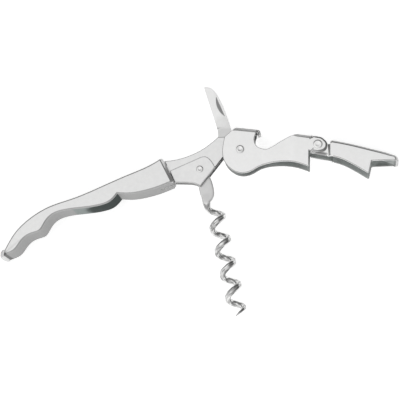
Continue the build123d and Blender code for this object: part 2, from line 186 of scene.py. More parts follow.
# ------------------------------------------------------------------ finishes
def metal(name, base, rough, mottle=0.03, speckle=0.02, grain=0.0, grain_axis=(1, 0, 0),
          rough_var=0.06, bump=0.15, bump_scale=2600.0, tint=(1.0, 1.0, 0.995), patch=(), streak=0.0):
    """Steel: cloudy mottling, fine speckle, optional drawn grain along an axis, and
    roughness and bump that follow them.  patch is painted shade, places darkened for shade and dark reflections,
    as (centre mm, radii mm, amount); streak is dark drawn lines along a wire's own length."""
    m = bpy.data.materials.new(name)
    m.use_nodes = True
    N = Nodes(m.node_tree)
    shader = m.node_tree.nodes["Principled BSDF"]
    pos = N.new("ShaderNodeTexCoord").outputs["Object"]
    cloud = N.noise(pos, 130.0, 4.0, 0.6, 0.4)
    fine = N.noise(pos, bump_scale, 2.0, 0.6)
    mid = N.noise(pos, 620.0, 3.0, 0.55)
    shade = N.math("ADD", N.math("MULTIPLY", N.math("SUBTRACT", cloud, 0.5), 2 * mottle), 1.0)
    shade = N.math("ADD", shade, N.math("MULTIPLY", N.math("SUBTRACT", mid, 0.5), 2 * speckle))
    height = fine
    if grain:
        ax = Vector(grain_axis).normalized()
        mp = N.new("ShaderNodeMapping", Vector=pos)
        mp.inputs["Rotation"].default_value = ax.to_track_quat("X", "Z").inverted().to_euler()
        mp2 = N.new("ShaderNodeMapping", Vector=mp.outputs[0])
        mp2.inputs["Scale"].default_value = (60.0, 2400.0, 2400.0)
        lines = N.noise(mp2.outputs[0], 1.0, 3.0, 0.6)
        shade = N.math("ADD", shade, N.math("MULTIPLY", N.math("SUBTRACT", lines, 0.5), 2 * grain))
        height = N.math("ADD", N.math("MULTIPLY", fine, 0.4), lines)
    if streak:
        mp = N.new("ShaderNodeMapping", Vector=N.new("ShaderNodeTexCoord").outputs["UV"])
        mp.inputs["Scale"].default_value = (9.0, 0.32, 1.0)
        drawn = N.noise(mp.outputs[0], 1.0, 2.0, 0.6)
        shade = N.math("MULTIPLY", shade, N.span(drawn, 0.36, 0.62, 1.0 - streak, 1.06, True))
    # painted shade: each patch darkens the colour towards its centre
    for (cx, cy, cz), (rx, ry, rz), amount in patch:
        mp = N.new("ShaderNodeMapping")
        mp.vector_type = "TEXTURE"
        N.put(mp, "Vector", pos)
        mp.inputs["Location"].default_value = ((cx + HX) * MM, (cy + HY) * MM, cz * MM)
        mp.inputs["Scale"].default_value = (rx * MM, ry * MM, rz * MM)
        ln = N.new("ShaderNodeVectorMath", operation="LENGTH", i0=mp.outputs[0]).outputs["Value"]
        wobble = N.math("MULTIPLY", N.math("SUBTRACT", mid, 0.5), 0.25)
        inside = N.span(N.math("ADD", ln, wobble), 0.72, 1.0, 1.0 - amount, 1.0, True)
        shade = N.math("MULTIPLY", shade, inside)
    colour = N.new("ShaderNodeCombineColor")
    for i, t in enumerate(tint):
        N.put(colour, "i%d" % i, N.math("MULTIPLY", shade, base * t))
    N.put(shader, "Base Color", colour.outputs[0])
    shader.inputs["Metallic"].default_value = 1.0
    r = N.math("ADD", N.math("MULTIPLY", N.math("SUBTRACT", cloud, 0.5), 2 * rough_var), rough, clamp=True)
    N.put(shader, "Roughness", r)
    bp = N.new("ShaderNodeBump", Height=height)
    bp.inputs["Strength"].default_value = bump
    bp.inputs["Distance"].default_value = 0.00006
    N.put(shader, "Normal", bp.outputs[0])
    return m


# painted shade at the tail's end, used on the cover's edge and wall colours
TAIL_PAINTED_SHADE = ((-98.60, -43.10, 6.5), (1.9, 1.9, 40.0), 0.72)
cover_face = metal("cover_face", 0.79, 0.36, mottle=0.08, speckle=0.06)
# darker copy of the cover steel: painted shade on the edge fillets
cover_edge_painted_shade = metal("cover_edge_painted_shade", 0.42, 0.34, mottle=0.06, speckle=0.05, patch=[TAIL_PAINTED_SHADE])
# darker copy of the cover steel: painted shade on the drawn-in front end
cover_front_painted_shade = metal("cover_front_painted_shade", 0.60, 0.36, mottle=0.07, speckle=0.05)
# darker copy of the cover steel for the side walls: painted shade, with drawn grain
cover_wall_painted_shade = metal("cover_wall_painted_shade", 0.31, 0.42, mottle=0.10, speckle=0.06, grain=0.08, grain_axis=(1, 0.4, 0), patch=[TAIL_PAINTED_SHADE])
# painted dark reflection and shade on part of the belly wall, darkest at its centre, tinted green
cover_painted_reflection = metal("cover_painted_reflection", 0.33, 0.42, mottle=0.10, speckle=0.08, grain=0.08, grain_axis=(1, 0.4, 0),
                     tint=(0.95, 1.0, 0.985), patch=[((-54.5, -20.0, 6.5), (13.5, 9.0, 12.0), 0.93)])
cover_painted_reflection.node_tree.nodes["Principled BSDF"].inputs["Specular Tint"].default_value = (0.66, 0.71, 0.70, 1.0)
lever_face = metal("lever_face", 0.85, 0.34, mottle=0.05, speckle=0.04)
# inside of the lever channel: rougher steel, its colour darkened as painted shade; the patch is painted shade in the
# hook's throat
lever_inside_painted_shade = metal("lever_inside_painted_shade", 0.56, 0.45, mottle=0.10, speckle=0.08, tint=(0.96, 1.0, 0.985),
                     patch=[((7.1, 5.7, 6.5), (1.9, 2.5, 8.0), 0.62)])
# darker copy of the lever steel: painted shade on the folds, more round the knuckle end
lever_bend_painted_shade = metal("lever_bend_painted_shade", 0.46, 0.44, mottle=0.10, speckle=0.08,
                   patch=[((33.5, 1.2, 12.5), (3.6, 4.4, 2.0), 0.45)])
# darker copy of the lever steel: painted shade on the outer lever's fold
outer_bend_painted_shade = metal("outer_bend_painted_shade", 0.58, 0.40, mottle=0.08, speckle=0.06)
# darker copy of the lever steel: painted shade on the hook
hook_painted_shade = metal("hook_painted_shade", 0.60, 0.40, mottle=0.06, speckle=0.05)
# darker copy of the lever steel: painted shade on the rounded rims
lever_edge_painted_shade = metal("lever_edge_painted_shade", 0.42, 0.42, mottle=0.08, speckle=0.06)
# lever steel with a painted shadow on the strip below the knuckle
outer_face_painted_shadow = metal("outer_face_painted_shadow", 0.85, 0.34, mottle=0.05, speckle=0.04,
                   patch=[((33.1, -3.2, 6.5), (4.3, 1.25, 9.0), 0.70)])
# darker copy of the lever steel: a painted shade line where the outer lever's fold begins
crease_painted_shade = metal("crease_painted_shade", 0.40, 0.42, mottle=0.10, speckle=0.08)
# inside of the outer lever: rougher steel, its colour darkened as painted shade, more in the tip
tip_inside_painted_shade = metal("tip_inside_painted_shade", 0.56, 0.45, mottle=0.10, speckle=0.08, tint=(0.96, 1.0, 0.985),
                   patch=[((58.6, -6.6, 6.5), (4.9, 2.6, 9.0), 0.42)])
# darker copy of the steel: painted shade on the end cap's dome
cap_painted_shade = metal("cap_painted_shade", 0.66, 0.34, mottle=0.08, speckle=0.06)
frame_face = metal("frame_face", 0.80, 0.36, mottle=0.08, speckle=0.07)
# darker copy of the frame steel: painted shade on its edges and walls, more on the diagonal edge
frame_edge_painted_shade = metal("frame_edge_painted_shade", 0.38, 0.36, mottle=0.08, speckle=0.06,
                   patch=[((-10.5, -8.6, 6.5), (6.0, 9.0, 9.0), 0.72)])
# darker copy of the frame steel: painted shade along the pressed panel's step
frame_step_painted_shade = metal("frame_step_painted_shade", 0.62, 0.36, mottle=0.08, speckle=0.06)
# the two patches are painted shade on the ricasso and the lower blade
blade = metal("blade", 0.78, 0.30, mottle=0.05, speckle=0.04, grain=0.02, grain_axis=(-0.3, 0.95, 0),
              patch=[((-6.0, 6.6, 6.5), (6.0, 4.2, 4.0), 0.12), ((-6.5, 8.0, 6.5), (8.0, 8.5, 4.0), 0.09)])
# darker copy of the blade steel: painted shade in the nail nick
nick_painted_shade = metal("nick_painted_shade", 0.50, 0.35, mottle=0.12, speckle=0.06)
rivet_face = metal("rivet_face", 0.78, 0.24, mottle=0.06, speckle=0.06, rough_var=0.03, bump=0.06)
wire = metal("wire", 0.70, 0.10, mottle=0.05, speckle=0.04, rough_var=0.03, bump=0.03, bump_scale=900.0, streak=0.55)
shank_face = metal("shank_face", 0.68, 0.40, mottle=0.06, speckle=0.05)
hidden = metal("hidden", 0.42, 0.42, mottle=0.06, speckle=0.04, grain=0.04)


# ------------------------------------------------------------------ outline helpers
def spline(pts, step=0.55):
    """Natural cubic spline through the points, by chord length."""
    n = len(pts)
    h = [math.dist(a, b) for a, b in zip(pts, pts[1:])]
    second = []
    for k in range(2):
        v = [p[k] for p in pts]
        lo, di, up, rhs = [0.0] * n, [1.0] * n, [0.0] * n, [0.0] * n
        for i in range(1, n - 1):
            lo[i], di[i], up[i] = h[i - 1], 2 * (h[i - 1] + h[i]), h[i]
            rhs[i] = 6 * ((v[i + 1] - v[i]) / h[i] - (v[i] - v[i - 1]) / h[i - 1])
        for i in range(1, n):
            w = lo[i] / di[i - 1]
            di[i] -= w * up[i - 1]
            rhs[i] -= w * rhs[i - 1]
        m = [0.0] * n
        m[-1] = rhs[-1] / di[-1]
        for i in range(n - 2, -1, -1):
            m[i] = (rhs[i] - up[i] * m[i + 1]) / di[i]
        second.append(m)
    out = []
    for i in range(n - 1):
        count = max(2, round(h[i] / step))
        for j in range(count):
            u = j / count * h[i]
            p = []
            for k in range(2):
                v0, v1, m0, m1 = pts[i][k], pts[i + 1][k], second[k][i], second[k][i + 1]
                a = (h[i] - u) / h[i]
                c = u / h[i]
                p.append(a * v0 + c * v1 + ((a ** 3 - a) * m0 + (c ** 3 - c) * m1) * h[i] ** 2 / 6)
            out.append(tuple(p))
    out.append(tuple(pts[-1]))
    return out


def line(a, b, step=0.9):
    n = max(1, round(math.dist(a, b) / step))
    return [(a[0] + (b[0] - a[0]) * i / n, a[1] + (b[1] - a[1]) * i / n) for i in range(n + 1)]


def arc(a, b, c, step=0.35):
    """Circular arc from a through b to c."""
    (ax, ay), (bx, by), (cx, cy) = a, b, c
    d = 2 * (ax * (by - cy) + bx * (cy - ay) + cx * (ay - by))
    ux = ((ax * ax + ay * ay) * (by - cy) + (bx * bx + by * by) * (cy - ay) + (cx * cx + cy * cy) * (ay - by)) / d
    uy = ((ax * ax + ay * ay) * (cx - bx) + (bx * bx + by * by) * (ax - cx) + (cx * cx + cy * cy) * (bx - ax)) / d
    r = math.hypot(ax - ux, ay - uy)
    t0, t1, t2 = (math.atan2(y - uy, x - ux) for x, y in (a, b, c))
    full = 2 * math.pi
    if (t1 - t0) % full < (t2 - t0) % full:
        sweep = (t2 - t0) % full
    else:
        sweep = -((t0 - t2) % full)
    n = max(3, round(abs(sweep) * r / step))
    return [(ux + r * math.cos(t0 + sweep * i / n), uy + r * math.sin(t0 + sweep * i / n)) for i in range(n + 1)]


def chain(*parts):
    """Joins runs of points end to end, dropping doubled points."""
    out = []
    for part in parts:
        for p in part:
            if not out or math.dist(out[-1], p) > 0.02:
                out.append(tuple(p))
    if math.dist(out[0], out[-1]) < 0.02:
        out.pop()
    return out


def area2(pts):
    return sum(a[0] * b[1] - b[0] * a[1] for a, b in zip(pts, pts[1:] + pts[:1]))


def ccw(pts):
    return list(pts) if area2(pts) > 0 else list(pts)[::-1]


def ease(u):
    u = min(1.0, max(0.0, u))
    return u * u * (3 - 2 * u)


def V(x, y, z):
    return Vector(((x + HX) * MM, (y + HY) * MM, z * MM))


def local(co):
    return co.x / MM - HX, co.y / MM - HY, co.z / MM - MZ


def finish_piece(bm, name, body, replaces, mats, smooth_angle=40, weighted=True):
    bmesh.ops.remove_doubles(bm, verts=bm.verts, dist=2e-6)
    bmesh.ops.recalc_face_normals(bm, faces=bm.faces)
    me = bpy.data.meshes.new(name)
    bm.to_mesh(me)
    bm.free()
    for p in me.polygons:
        p.use_smooth = True
    me.set_sharp_from_angle(angle=math.radians(smooth_angle))
    for m in mats:
        me.materials.append(m)
    o = bpy.data.objects.new(name, me)
    scene.collection.objects.link(o)
    if weighted:
        w = o.modifiers.new("normals", "WEIGHTED_NORMAL")
        w.mode = "FACE_AREA"
        w.weight = 80
        w.keep_sharp = True
    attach(o, body)
    if replaces:
        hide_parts(*replaces)
    return o


def prism(bm, outline, z0, z1, floor_z=None):
    """Closed prism; returns its bottom, top and upright edges.  floor_z gives a sloping bottom."""
    pts = ccw(outline)
    low = [bm.verts.new(V(x, y, floor_z(x, y) if floor_z else z0)) for x, y in pts]
    high = [bm.verts.new(V(x, y, z1)) for x, y in pts]
    bm.faces.new(low[::-1])
    bm.faces.new(high)
    n = len(pts)
    for i in range(n):
        bm.faces.new((low[i], low[(i + 1) % n], high[(i + 1) % n], high[i]))
    eb = [bm.edges.get((low[i], low[(i + 1) % n])) for i in range(n)]
    et = [bm.edges.get((high[i], high[(i + 1) % n])) for i in range(n)]
    ev = [bm.edges.get((low[i], high[i])) for i in range(n)]
    return eb, et, ev


def bevel(bm, edges, width_mm, segments=3, profile=0.5, material=-1):
    edges = [e for e in edges if e is not None and e.is_valid]
    if edges:
        bm.normal_update()
        bmesh.ops.bevel(bm, geom=edges, offset=width_mm * MM, offset_type="OFFSET", segments=segments,
                        profile=profile, affect="EDGES", clamp_overlap=False, loop_slide=True,
                        material=material, miter_outer="SHARP", miter_inner="SHARP")


def settle(bm, mats, add, others=()):
    """bm with modifiers applied; add puts them on an object."""
    me = bpy.data.meshes.new("part")
    bm.to_mesh(me)
    bm.free()
    for m in mats:
        me.materials.append(m)
    o = bpy.data.objects.new("part", me)
    scene.collection.objects.link(o)
    add(o)
    dg = bpy.context.evaluated_depsgraph_get()
    dg.update()
    got = bpy.data.meshes.new_from_object(o.evaluated_get(dg))
    out = bmesh.new()
    out.from_mesh(got)
    bpy.data.meshes.remove(got)
    for x in [o, *others]:
        bpy.data.objects.remove(x)
    bmesh.ops.recalc_face_normals(out, faces=out.faces)
    return out


def cut(bm, mats, *cutters):
    """bm less the closed cutters, each (bmesh, material index of the cut faces)."""
    tools = []
    for cb, index in cutters:
        bmesh.ops.recalc_face_normals(cb, faces=cb.faces)
        for f in cb.faces:
            f.material_index = index
        cm = bpy.data.meshes.new("tool")
        cb.to_mesh(cm)
        cb.free()
        for m in mats:
            cm.materials.append(m)
        co = bpy.data.objects.new("tool", cm)
        scene.collection.objects.link(co)
        tools.append(co)

    def add(o):
        for co in tools:
            md = o.modifiers.new("cut", "BOOLEAN")
            md.operation = "DIFFERENCE"
            md.solver = "EXACT"
            md.object = co

    return settle(bm, mats, add, tools)


def rod(at, r, z0, z1, sides=40):
    cb = bmesh.new()
    prism(cb, [(at[0] + r * math.cos(2 * math.pi * i / sides), at[1] + r * math.sin(2 * math.pi * i / sides))
               for i in range(sides)], z0, z1)
    return cb


# ------------------------------------------------------------------ handle cover
back = spline([
    (-32.30, -3.25), (-37.20, -6.10), (-45.60, -9.65), (-57.60, -14.65), (-69.60, -19.45),
    (-80.20, -23.00), (-86.95, -26.95), (-93.80, -33.40), (-97.95, -40.50)], 0.8)
belly = spline([
    (-98.45, -42.95), (-96.20, -42.20), (-93.80, -40.90), (-91.70, -38.20), (-88.90, -35.20),
    (-85.60, -33.85), (-83.40, -33.00), (-82.00, -31.20), (-80.70, -28.90), (-78.20, -26.40),
    (-73.90, -24.80), (-65.00, -23.75), (-57.80, -22.70), (-53.80, -21.10), (-50.90, -18.00)], 0.6)
front = spline([
    (-50.90, -18.00), (-46.00, -18.25), (-41.40, -17.75), (-37.20, -16.80), (-33.00, -15.50),
    (-28.60, -13.75)], 0.8)
cover_outline = chain(back, [(-97.95, -40.50), (-98.45, -42.95)], belly, front,
                      arc((-28.60, -13.75), (-27.75, -13.15), (-27.75, -12.50), 0.25),
                      line((-27.75, -12.50), (-32.30, -3.25), 1.2))

bm = bmesh.new()
eb, et, ev = prism(bm, cover_outline, 0.0, 13.0)
# the edge fillets take the darker painted-shade copy of the steel
bevel(bm, eb + et, 0.6, 4, material=3)
bm.normal_update()
# side walls take the painted-shade copy; part of the belly wall takes a painted dark reflection
for f in bm.faces:
    if abs(f.normal.z) < 0.12:
        x, y, z = local(f.calc_center_median())
        f.material_index = 2 if -70 < x < -50.9 and y < -17.5 and f.normal.y < 0 else 1
# the front end is drawn in towards both faces
for z in (-5.7, -5.2, -4.7, -4.2, 4.2, 4.7, 5.2, 5.7):
    bmesh.ops.bisect_plane(bm, geom=list(bm.verts) + list(bm.edges) + list(bm.faces), dist=1e-6,
                           plane_co=V(0, 0, MZ + z), plane_no=(0, 0, 1))
front_end, front_dir = Vector((-27.75, -12.50)), Vector((9.25, 4.55)).normalized()


def from_front(co):
    x, y, z = local(co)
    return (front_end - Vector((x, y))).dot(front_dir), z


for v in bm.verts:
    gap, z = from_front(v.co)
    if gap < 3.0:
        draw = 0.80 * ease((abs(z) - 4.0) / 3.4) * (1 - gap / 3.0) ** 2 * 2.0
        v.co -= Vector((front_dir.x, front_dir.y, 0)) * min(draw, 0.80) * MM
# the front end's faces take the darker painted-shade copy of the steel
for f in bm.faces:
    gap, z = from_front(f.calc_center_median())
    if gap < 1.0 and abs(z) > 4.2 and f.normal.x > 0.5:
        f.material_index = 4
# slot for the folded worm's shank, and the blind ends of the cross pins
cover_mats = [cover_face, cover_wall_painted_shade, cover_painted_reflection, cover_edge_painted_shade, cover_front_painted_shade]
fold = math.radians(-77.6 - 69.5)
fd, fs = (math.cos(fold), math.sin(fold)), (math.cos(fold + math.pi / 2), math.sin(fold + math.pi / 2))
fa = (WORM_PIVOT[0] + 2.15 * fs[0], WORM_PIVOT[1] + 2.15 * fs[1])


def along(t, beside):
    return (fa[0] + t * fd[0] - beside * fs[0], fa[1] + t * fd[1] - beside * fs[1])


slot_cut = bmesh.new()
prism(slot_cut, [along(5.8, 5.0), along(18.2, 5.0), along(18.2, -6), along(5.8, -6)], MZ - 1.50, MZ + 1.50)
bm = cut(bm, cover_mats, (slot_cut, 0), (rod((-41.0, -11.75), 1.21, -1, 11.3), 1),
         (rod((-52.0, -16.35), 1.21, -1, 11.3), 1))
finish_piece(bm, "handle_cover_shell", "handle", ["handle_cover"], cover_mats)

# ------------------------------------------------------------------ end cap
cap_outline = chain([(-97.95, -40.50), (-98.45, -42.95)], spline([
    (-98.45, -42.95), (-99.05, -43.75), (-99.90, -44.05), (-100.50, -43.50), (-100.62, -42.50),
    (-100.40, -41.40), (-99.50, -40.60), (-98.80, -40.35), (-97.95, -40.50)], 0.22))


def domed(bm, outline, z0, z1, seat, depth, rings=8):
    """A cap whose outline draws in to its seat line towards both faces."""
    pts = ccw(outline)
    sx, sy = (seat[0][0] + seat[1][0]) / 2, (seat[0][1] + seat[1][1]) / 2
    loops = []
    for k in range(2 * rings + 1):
        a = math.pi * (k / (2 * rings) - 0.5)
        z = z0 + (z1 - z0) * (0.5 + 0.5 * math.sin(a))
        reach = max(0.0, math.cos(a)) ** 0.55
        gx = 1 - depth * (1 - reach)
        gy = 1 - 0.25 * (1 - reach)
        loops.append([bm.verts.new(V(sx + (x - sx) * gx, sy + (y - sy) * gy, z)) for x, y in pts])
    n = len(pts)
    for a, c in zip(loops, loops[1:]):
        for i in range(n):
            bm.faces.new((a[i], a[(i + 1) % n], c[(i + 1) % n], c[i]))
    bm.faces.new(loops[0][::-1])
    bm.faces.new(loops[-1])


bm = bmesh.new()
domed(bm, cap_outline, 0.67, 12.33, ((-97.95, -40.50), (-98.45, -42.95)), 0.75)
finish_piece(bm, "end_cap_dome", "handle", ["end_cap"], [cap_painted_shade], 60)

# ------------------------------------------------------------------ frame cheeks
cheek_outline = chain(
    spline([(-31.85, -3.80), (-26.90, -3.25), (-23.95, -2.55), (-21.00, -1.55), (-15.20, 1.30), (-9.30, 5.90)]),
    [(-9.30, 5.90), (-2.48, 5.90)],
    arc((-2.48, 5.90), (4.525, -4.525), (-6.23, -1.50)),
    line((-6.23, -1.50), (-16.75, -15.00), 1.2),
    spline([(-16.75, -15.00), (-18.40, -14.00), (-22.20, -13.30), (-27.40, -13.05)]),
    [(-27.40, -13.05), (-29.15, -9.30), (-33.00, -10.70), (-44.80, -15.40), (-57.50, -20.20),
     (-57.50, -16.90), (-44.80, -11.60), (-31.00, -5.60), (-31.85, -3.80)])
panel_outline = chain(
    line((-29.60, -8.10), (-16.30, -2.45), 1.0),
    spline([(-16.30, -2.45), (-14.60, -2.35), (-12.70, -3.60), (-10.60, -6.95)], 0.35),
    line((-10.60, -6.95), (-16.62, -14.66), 1.0),
    spline([(-16.62, -14.66), (-18.40, -13.82), (-22.20, -13.14), (-27.40, -12.90)], 0.5),
    line((-27.40, -12.90), (-29.60, -8.10), 1.0))
for side, name in ((1, "frame_front_cheek"), (-1, "frame_rear_cheek")):
    inner, outer_z = MZ + side * 1.1, MZ + side * 2.3
    bm = bmesh.new()
    eb, et, ev = prism(bm, cheek_outline, min(inner, outer_z), max(inner, outer_z))
    bevel(bm, eb + et, 0.28, 3, material=1)
    bm.normal_update()
    # the walls and edge fillets take the painted-shade copy
    for f in bm.faces:
        if abs(f.normal.z) < 0.1:
            f.material_index = 1
    za, zb = MZ + side * 2.2, MZ + side * 2.65
    eb, et, ev = prism(bm, panel_outline, min(za, zb), max(za, zb))
    # the panel's step takes its painted-shade colour
    bevel(bm, et if side > 0 else eb, 0.30, 3, material=2)
    finish_piece(bm, name + "_plate", "handle", [name], [frame_face, frame_edge_painted_shade, frame_step_painted_shade])


# ------------------------------------------------------------------ pressed channels
def channel(name, near, webs, zhalf, thick, body, replaces, mats, joggle_x=(), rim=0.16,
            hook=None, end_edges=None, holes=(), keep=(0, 0), fold=(1.35, 0.42), crease=0):
    """A folded sheet.  near is the outline of a cheek; webs are runs of (index in near,
    q, p, radius) in outline order, where q is on the cheek and p on the web."""
    bm = bmesh.new()
    flats = {}
    for sign in (1, -1):
        verts = [bm.verts.new(V(x, y, MZ + sign * zhalf(x))) for x, y in near]
        flats[sign] = verts
        bm.faces.new(verts if sign > 0 else verts[::-1])
    steps = 6
    for run in webs:
        rings = []
        for idx, q, p, r in run:
            halves = []
            for sign in (1, -1):
                half = []
                for k in range(steps + 1):
                    u = k / steps
                    over = fold[0] * u + (1 - fold[0]) * u * u
                    x = q[0] + (p[0] - q[0]) * over
                    y = q[1] + (p[1] - q[1]) * over
                    z = MZ + sign * (zhalf(q[0]) - r * (fold[1] * u + (1 - fold[1]) * u * u))
                    half.append(flats[sign][idx] if k == 0 else bm.verts.new(V(x, y, z)))
                halves.append(half)
            z_top = zhalf(q[0]) - r
            mids = [bm.verts.new(V(p[0], p[1], MZ + z_top * (1 - 2 * j / 6))) for j in range(1, 6)]
            rings.append(halves[0] + mids + halves[1][::-1])
        for a, c in zip(rings, rings[1:]):
            # web faces take material 2, the fold's painted shade; with crease, the rings next to the cheeks take
            # material 4, a darker painted shade line
            for i in range(len(a) - 1):
                near_fold = min(i, len(a) - 2 - i) < crease
                bm.faces.new((a[i], c[i], c[i + 1], a[i + 1])).material_index = 4 if near_fold else 2
        # the hook's faces take material 4, a darker painted-shade colour
        if hook and run is webs[0]:
            ring = rings[hook["end"]]
            prev = ring[steps:len(ring) - steps]
            zs = [v.co.z for v in prev]
            for x, y in hook["path"]:
                cur = [bm.verts.new(Vector(((x + HX) * MM, (y + HY) * MM, z))) for z in zs]
                for i in range(len(cur) - 1):
                    bm.faces.new((prev[i], cur[i], cur[i + 1], prev[i + 1])).material_index = 4
                prev = cur
    # the cheeks are cut along the joggle, so that they bend there
    for x in joggle_x:
        bmesh.ops.bisect_plane(bm, geom=list(bm.verts) + list(bm.edges) + list(bm.faces), dist=1e-6,
                               plane_co=V(x, 0, 0), plane_no=(1, 0, 0))
    bmesh.ops.recalc_face_normals(bm, faces=bm.faces)
    bm.normal_update()
    # the sheet's thickness goes inwards
    probe = max(bm.faces, key=lambda f: f.calc_area())
    outward = local(probe.calc_center_median())[2] * probe.normal.z > 0

    def add(o):
        so = o.modifiers.new("thickness", "SOLIDIFY")
        so.thickness = thick * MM
        so.offset = -1 if outward else 1
        so.use_even_offset = False
        so.use_quality_normals = True
        # the inner faces take the next material, a darker painted-shade copy
        so.material_offset = 1
        so.material_offset_rim = 0
        so.thickness_clamp = 0

    bm = settle(bm, mats, add)

    def sharp(e):
        return len(e.link_faces) == 2 and e.calc_face_angle(0) > math.radians(58)

    def in_joggle(e):
        return any(keep[0] < local(v.co)[0] < keep[1] for v in e.verts)

    if end_edges:
        # the knuckle's end edge takes the fold's painted-shade colour
        bevel(bm, [e for e in bm.edges if sharp(e) and end_edges(e)], 0.80, 4, material=2)
    # the rims take material 6, a darker painted-shade colour
    bevel(bm, [e for e in bm.edges if sharp(e) and not in_joggle(e)], rim, 3, material=6)
    bmesh.ops.recalc_face_normals(bm, faces=bm.faces)
    if holes:
        bm = cut(bm, mats, *[(rod(at, r, -2, 15), 1) for at, r in holes])
    return finish_piece(bm, name, body, replaces, mats)


def inset(p, before, after, r):
    """The point r inwards from p on a top edge that runs left to right."""
    d = Vector((after[0] - before[0], after[1] - before[1])).normalized()
    return (p[0] + d.y * r, p[1] - d.x * r)


# ------------------------------------------------------------------ inner lever
R_HUB, R_ARM = 1.7, 1.4
hub_a, hub_b = (-2.00, 9.80), (6.85, 8.62)
arm_a, arm_b = (23.30, 5.68), (29.90, 4.58)


def inner_half(x):
    u = (x - 9.0) / 13.6
    return 4.0 + 2.1 * (0.75 * min(1.0, max(0.0, u)) + 0.25 * ease(u))


hub_pts = line(hub_a, hub_b, 0.9)
hub_q = [inset(p, hub_a, hub_b, R_HUB) for p in hub_pts]
hub_q[0] = (-3.50, 8.12)     # on the cheek's left edge
hub_q[-1] = (6.66, 6.85)
arm_pts = line(arm_a, arm_b, 0.9)
arm_r = [R_ARM] * (len(arm_pts) - 2) + [1.25, 0.85]      # the fold closes at the knuckle
arm_q = [inset(p, arm_a, arm_b, r) for p, r in zip(arm_pts, arm_r)]
arm_q[0] = (21.60, 4.90)

left_edge = spline([
    (-6.45, 5.55), (-7.35, 0.30), (-7.00, -3.80), (-4.50, -7.65), (-0.20, -9.95), (4.40, -9.30),
    (8.00, -7.35), (11.80, -6.25), (15.60, -5.85), (20.30, -6.00), (24.00, -6.75), (28.35, -8.45)], 0.6)
right_step = chain(line((28.35, -8.45), (28.55, -1.70), 0.9),
                   spline([(28.55, -1.70), (30.20, -2.20), (32.00, -2.55), (34.00, -2.25)], 0.4),
                   arc((34.00, -2.25), (36.12, 0.15), (35.00, 2.72), 0.35),
                   spline([(35.00, 2.72), (34.05, 3.58), (32.70, 4.05)], 0.4),
                   [(32.70, 4.05), (31.30, 4.33), (30.20, 4.52)])
throat = spline([
    (23.30, 5.68), (20.30, 4.35), (15.50, 1.90), (12.45, 0.25), (10.40, -0.20), (8.70, 0.25),
    (7.20, 1.00), (6.35, 2.10), (5.95, 3.60), (6.00, 4.90), (6.70, 6.60)], 0.45)
throat = [p for p in throat if p[0] < 20.8 and p[1] < 5.9]
# anticlockwise: left edge down and round, step, knuckle, arm web, throat, hub web
outline = chain(left_edge, right_step)
web_arm = []
for q, p, r in zip(arm_q[::-1], arm_pts[::-1], arm_r[::-1]):
    web_arm.append((len(outline), q, p, r))
    outline.append(q)
outline += throat
web_hub = []
for q, p in zip(hub_q[::-1], hub_pts[::-1]):
    web_hub.append((len(outline), q, p, R_HUB))
    outline.append(q)
hook_path = chain([(7.50, 8.45)], arc((7.50, 8.45), (8.12, 8.10), (8.35, 7.40), 0.3), line((8.35, 7.40), (8.50, 6.50), 0.8))


def knuckle_end(e):
    x, y, z = local((e.verts[0].co + e.verts[1].co) / 2)
    return x > 29.6 and abs(z) > 6.0 and y > -2.9


channel("inner_lever_sheet", outline, [web_hub, web_arm], inner_half, 1.15, "inner_arm",
        ["inner_lever"], [lever_face, lever_inside_painted_shade, lever_bend_painted_shade, lever_inside_painted_shade, hook_painted_shade, lever_inside_painted_shade, lever_edge_painted_shade],
        joggle_x=(9.0, 11.0, 13.0, 15.0, 17.0, 19.0, 21.0, 22.6), rim=0.26, hook={"end": 0, "path": hook_path}, fold=(1.2, 0.85), end_edges=knuckle_end, holes=[((0, 0), 1.35), (KNUCKLE, 1.5)])

# ------------------------------------------------------------------ outer lever
R_OUT = 1.25


def outer_half(x):
    return 4.8 + 1.7 * ease((x - 36.3) / 1.05)


top_line = chain([(37.38, 1.95), (37.72, 2.30)],
                 spline([(38.30, 2.40), (43.50, 1.28), (51.80, -0.98), (62.60, -4.05)], 0.9),
                 arc((62.60, -4.05), (64.40, -5.10), (64.85, -7.00), 0.3))
top_run = []
for i, p in enumerate(top_line):
    a = top_line[max(0, i - 1)]
    c = top_line[min(len(top_line) - 1, i + 1)]
    r = R_OUT * min(1.0, 0.75 + 0.25 * i / 2) + 1.1 * ease((p[0] - 59.5) / 4.0)
    q = inset(p, a, c, min(r, 1.35))
    if i < 2:
        q = ((37.42, 0.86), (37.82, 1.02))[i]
    top_run.append((q, p, r))
under = chain(line((28.80, -2.45), (28.80, -2.45), 1.0),
              spline([(28.80, -2.45), (37.20, -4.25), (41.30, -5.45), (45.40, -7.50), (49.50, -10.05), (52.00, -11.70)], 0.6),
              [(52.00, -11.70), (52.75, -11.80)],
              line((52.75, -11.80), (53.95, -6.85), 0.9), line((53.95, -6.85), (62.50, -6.72), 1.0), [(62.95, -6.74)])
knuckle_side = chain(line((36.90, 0.55), (34.60, 2.50), 0.6),
                     arc((34.60, 2.50), (31.30, 3.60), (29.15, 0.60), 0.35),
                     line((29.15, 0.60), (28.80, -2.45), 0.8)[:-1])
outline = list(under)
web_top = []
for q, p, r in top_run[::-1]:
    web_top.append((len(outline), q, p, r))
    outline.append(q)
outline += knuckle_side
channel("outer_lever_sheet", outline, [web_top], outer_half, 1.15, "outer_arm",
        ["outer_lever"], [outer_face_painted_shadow, tip_inside_painted_shade, outer_bend_painted_shade, tip_inside_painted_shade, crease_painted_shade, tip_inside_painted_shade, lever_edge_painted_shade],
        joggle_x=(36.3, 36.6, 37.05, 37.35), rim=0.26, keep=(35.95, 38.2), crease=2, holes=[(KNUCKLE, 1.55)])

